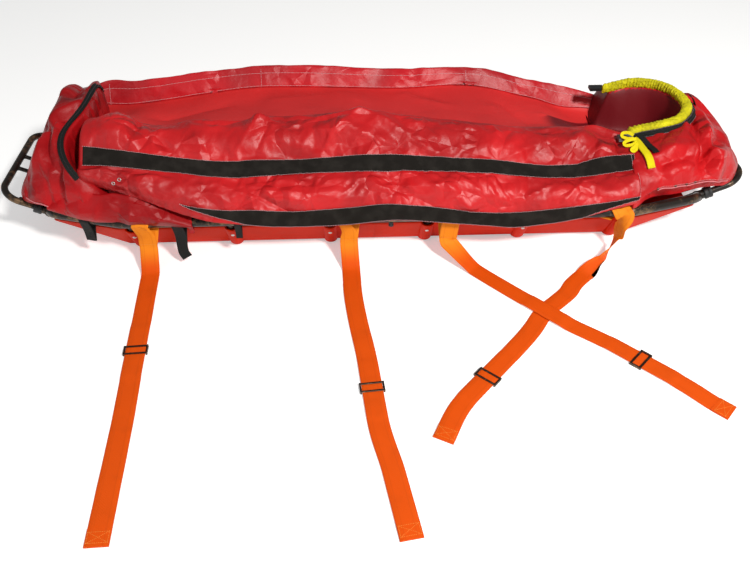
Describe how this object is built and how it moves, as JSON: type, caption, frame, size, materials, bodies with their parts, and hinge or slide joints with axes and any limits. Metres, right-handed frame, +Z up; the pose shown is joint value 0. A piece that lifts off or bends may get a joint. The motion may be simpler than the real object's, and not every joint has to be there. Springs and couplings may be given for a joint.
{
  "type": "mountain rescue stretcher",
  "caption": "Two-part tube-frame rescue stretcher in a ribbed moulded shell, with telescoping carrying loops, a coated casualty bag with a padded hood and adjustable side straps",
  "frame": {"origin": "on the ground under the shell's flat bottom, close to the joint between the two halves", "axes": "+X towards the head, +Y away from the side where the straps hang, +Z up"},
  "size_m": [2.1174, 1.4974, 0.3619],
  "materials": {
    "black_tube": "satin black coat with a bronze sheen",
    "orange_shell": "moulded, satin",
    "steel": "plain",
    "black_plastic": "moulded, satin",
    "red_fabric": "coated cloth, glossy folds",
    "mattress_cover": "coated cloth, matt",
    "loop_tape": "loop pile, matt",
    "yellow_padding": "padded cloth, matt",
    "black_webbing": "woven, matt",
    "orange_webbing": "woven, slight sheen",
    "gunmetal": "dark metal, satin"
  },
  "bodies": {
    "stretcher": {"foot_half_frame": "black_tube", "head_half_frame": "black_tube", "foot_shell": "orange_shell", "head_shell": "orange_shell", "foot_near_sleeve_collar": "black_plastic", "foot_far_sleeve_collar": "black_plastic", "head_near_sleeve_collar": "black_plastic", "head_far_sleeve_collar": "black_plastic", "near_buckle_socket": "black_plastic", "far_buckle_socket": "black_plastic", "shell_rivet_01": "steel", "shell_rivet_02": "steel", "shell_rivet_03": "steel", "shell_rivet_04": "steel", "shell_rivet_05": "steel", "shell_rivet_06": "steel", "shell_rivet_07": "steel", "shell_rivet_08": "steel", "shell_rivet_09": "steel", "shell_rivet_10": "steel", "shell_rivet_11": "steel", "shell_rivet_12": "steel", "near_spigot": "steel", "far_spigot": "steel", "near_spigot_rivet": "steel", "far_spigot_rivet": "steel", "bag_body": "red_fabric", "near_flap": "red_fabric", "far_flap": "red_fabric", "foot_pocket": "red_fabric", "head_cover": "red_fabric", "mattress": "mattress_cover", "upper_tape": "loop_tape", "lower_tape": "loop_tape", "hood_collar": "yellow_padding", "yellow_pull": "yellow_padding", "hood_zip": "black_webbing", "black_pull": "black_webbing", "hanging_tail": "black_webbing", "foot_lashing": "black_webbing", "strap_1": "orange_webbing", "strap_2": "orange_webbing", "strap_3": "orange_webbing", "strap_4": "orange_webbing"},
    "foot_handle": {"foot_carrying_loop": "black_tube"},
    "head_handle": {"head_carrying_loop": "black_tube"},
    "near_pin": {"near_coupling_pin": "black_plastic"},
    "far_pin": {"far_coupling_pin": "black_plastic"},
    "slide_body_1": {"slide_1": "gunmetal"},
    "slide_body_2": {"slide_2": "gunmetal"},
    "slide_body_3": {"slide_3": "gunmetal"},
    "slide_body_4": {"slide_4": "gunmetal"},
    "near_plug": {"near_buckle_plug": "black_plastic"},
    "far_plug": {"far_buckle_plug": "black_plastic"}
  },
  "joints": [
    {"name": "foot_handle_slide", "type": "slide", "parent": "stretcher", "child": "foot_handle", "axis": [-0.9128, 0, 0.4083], "range_m": [-0.015, 0.1]},
    {"name": "head_handle_slide", "type": "slide", "parent": "stretcher", "child": "head_handle", "axis": [0.9128, 0, 0.4083], "range_m": [-0.015, 0.1]},
    {"name": "near_pin_draw", "type": "slide", "parent": "stretcher", "child": "near_pin", "axis": [0, 0, -1], "range_m": [0, 0.03]},
    {"name": "far_pin_draw", "type": "slide", "parent": "stretcher", "child": "far_pin", "axis": [0, 0, -1], "range_m": [0, 0.03]},
    {"name": "strap_1_adjust", "type": "slide", "parent": "stretcher", "child": "slide_body_1", "axis": [0.0536, -0.9986, 0], "range_m": [-0.05, 0.05]},
    {"name": "strap_2_adjust", "type": "slide", "parent": "stretcher", "child": "slide_body_2", "axis": [0.0942, -0.9956, 0], "range_m": [-0.05, 0.05]},
    {"name": "strap_3_adjust", "type": "slide", "parent": "stretcher", "child": "slide_body_3", "axis": [0.7012, -0.7129, 0], "range_m": [-0.05, 0.05]},
    {"name": "strap_4_adjust", "type": "slide", "parent": "stretcher", "child": "slide_body_4", "axis": [-0.671, -0.7415, 0], "range_m": [-0.05, 0.05]},
    {"name": "near_buckle_release", "type": "slide", "parent": "stretcher", "child": "near_plug", "axis": [-1, 0, 0], "range_m": [0, 0.03]},
    {"name": "far_buckle_release", "type": "slide", "parent": "stretcher", "child": "far_plug", "axis": [-1, 0, 0], "range_m": [0, 0.03]}
  ]
}
